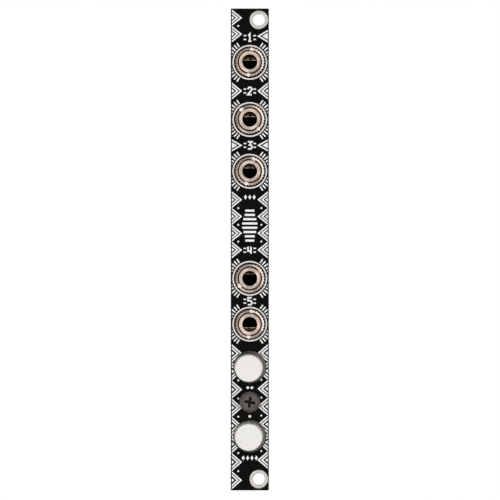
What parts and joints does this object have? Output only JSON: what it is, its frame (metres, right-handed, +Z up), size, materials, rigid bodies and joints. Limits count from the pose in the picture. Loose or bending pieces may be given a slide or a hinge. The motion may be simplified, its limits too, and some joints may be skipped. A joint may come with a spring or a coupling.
{
  "type": "eurorack module",
  "caption": "Narrow rack synthesizer module: black front panel with a column of jack sockets, round white push buttons, a circuit board behind and a power header.",
  "frame": {"origin": "on the panel's rear face, midway between the two rack-screw holes", "axes": "+Z up along the panel, +X right, +Y into the depth behind the panel; the front faces -Y"},
  "size_m": [0.0102, 0.0247, 0.1284],
  "materials": {
    "panel_black": "black solder mask, semi-gloss, with white print",
    "tinned_ring": "tinned copper",
    "nickel_plate": "nickel-plated brass, finely turned",
    "board_green": "green solder mask on glass-fibre board",
    "standoff_nickel": "nickel-plated brass",
    "screw_black": "black oxide, slightly worn",
    "header_plastic": "moulded black",
    "header_gold": "gold flash",
    "chip_black": "moulded black with tinned leads",
    "resistor_ceramic": "black glaze with tinned ends",
    "capacitor_ceramic": "tan body with tinned ends",
    "can_aluminium": "bare can on a black base",
    "diode_black": "moulded black with tinned tabs",
    "solder": "bright solder",
    "jack_plastic": "moulded black",
    "tip_bronze": "phosphor bronze strip",
    "tinned_strip": "tinned strip",
    "cap_white": "translucent white, satin",
    "plunger_white": "moulded white",
    "button_black": "moulded black",
    "spring_steel": "drawn wire",
    "silver_contact": "silver-plated strip",
    "light_lens": "milky lens with tinned leads"
  },
  "bodies": {
    "root": {"button_1_base": "button_black", "button_1_housing": "button_black", "button_1_light": "light_lens", "button_1_spring": "spring_steel", "button_1_terminals": "silver_contact", "button_2_base": "button_black", "button_2_housing": "button_black", "button_2_light": "light_lens", "button_2_spring": "spring_steel", "button_2_terminals": "silver_contact", "ceramic_capacitors": "capacitor_ceramic", "electrolytic_capacitors": "can_aluminium", "front_panel": "panel_black", "jack_1_bushing": "nickel_plate", "jack_1_housing": "jack_plastic", "jack_1_sleeve_contact": "tinned_strip", "jack_1_switch_contact": "tip_bronze", "jack_1_tip_terminal": "tip_bronze", "jack_2_bushing": "nickel_plate", "jack_2_housing": "jack_plastic", "jack_2_sleeve_contact": "tinned_strip", "jack_2_switch_contact": "tip_bronze", "jack_2_tip_terminal": "tip_bronze", "jack_3_bushing": "nickel_plate", "jack_3_housing": "jack_plastic", "jack_3_sleeve_contact": "tinned_strip", "jack_3_switch_contact": "tip_bronze", "jack_3_tip_terminal": "tip_bronze", "jack_4_bushing": "nickel_plate", "jack_4_housing": "jack_plastic", "jack_4_sleeve_contact": "tinned_strip", "jack_4_switch_contact": "tip_bronze", "jack_4_tip_terminal": "tip_bronze", "jack_5_bushing": "nickel_plate", "jack_5_housing": "jack_plastic", "jack_5_sleeve_contact": "tinned_strip", "jack_5_switch_contact": "tip_bronze", "jack_5_tip_terminal": "tip_bronze", "jack_nuts": "nickel_plate", "main_board": "board_green", "op_amps": "chip_black", "power_header_block": "header_plastic", "power_header_pins": "header_gold", "protection_diodes": "diode_black", "rack_hole_rings": "tinned_ring", "resistors": "resistor_ceramic", "solder_joints": "solder", "standoff": "standoff_nickel", "standoff_screws": "screw_black"},
    "button_1": {"button_1_cap": "cap_white", "button_1_plunger": "plunger_white", "button_1_bridge": "silver_contact"},
    "button_2": {"button_2_cap": "cap_white", "button_2_plunger": "plunger_white", "button_2_bridge": "silver_contact"},
    "jack_1_tip": {"jack_1_tip_spring": "tip_bronze"},
    "jack_2_tip": {"jack_2_tip_spring": "tip_bronze"},
    "jack_3_tip": {"jack_3_tip_spring": "tip_bronze"},
    "jack_4_tip": {"jack_4_tip_spring": "tip_bronze"},
    "jack_5_tip": {"jack_5_tip_spring": "tip_bronze"}
  },
  "joints": [
    {"name": "button_1_press", "type": "slide", "parent": "root", "child": "button_1", "axis": [0, 1, 0], "range_m": [0, 0.0015], "stiffness_N_per_m": 500, "springref_m": -0.0015, "deforming": ["button_1_spring"]},
    {"name": "button_2_press", "type": "slide", "parent": "root", "child": "button_2", "axis": [0, 1, 0], "range_m": [0, 0.0015], "stiffness_N_per_m": 500, "springref_m": -0.0015, "deforming": ["button_2_spring"]},
    {"name": "jack_1_tip_flex", "type": "hinge", "parent": "root", "child": "jack_1_tip", "pos_m": [-0.00242, 0.0034, 0.05426], "axis": [1, 0, 0], "range_deg": [0, 12], "stiffness_Nm_per_rad": 0.035, "springref_deg": -3.44},
    {"name": "jack_2_tip_flex", "type": "hinge", "parent": "root", "child": "jack_2_tip", "pos_m": [-0.00242, 0.0034, 0.03902], "axis": [1, 0, 0], "range_deg": [0, 12], "stiffness_Nm_per_rad": 0.035, "springref_deg": -3.44},
    {"name": "jack_3_tip_flex", "type": "hinge", "parent": "root", "child": "jack_3_tip", "pos_m": [-0.00242, 0.0034, 0.02522], "axis": [1, 0, 0], "range_deg": [0, 12], "stiffness_Nm_per_rad": 0.035, "springref_deg": -3.44},
    {"name": "jack_4_tip_flex", "type": "hinge", "parent": "root", "child": "jack_4_tip", "pos_m": [-0.00242, 0.0034, -0.00334], "axis": [1, 0, 0], "range_deg": [0, 12], "stiffness_Nm_per_rad": 0.035, "springref_deg": -3.44},
    {"name": "jack_5_tip_flex", "type": "hinge", "parent": "root", "child": "jack_5_tip", "pos_m": [-0.00242, 0.0034, -0.02428], "axis": [-1, 0, 0], "range_deg": [0, 12], "stiffness_Nm_per_rad": 0.035, "springref_deg": -3.44}
  ]
}
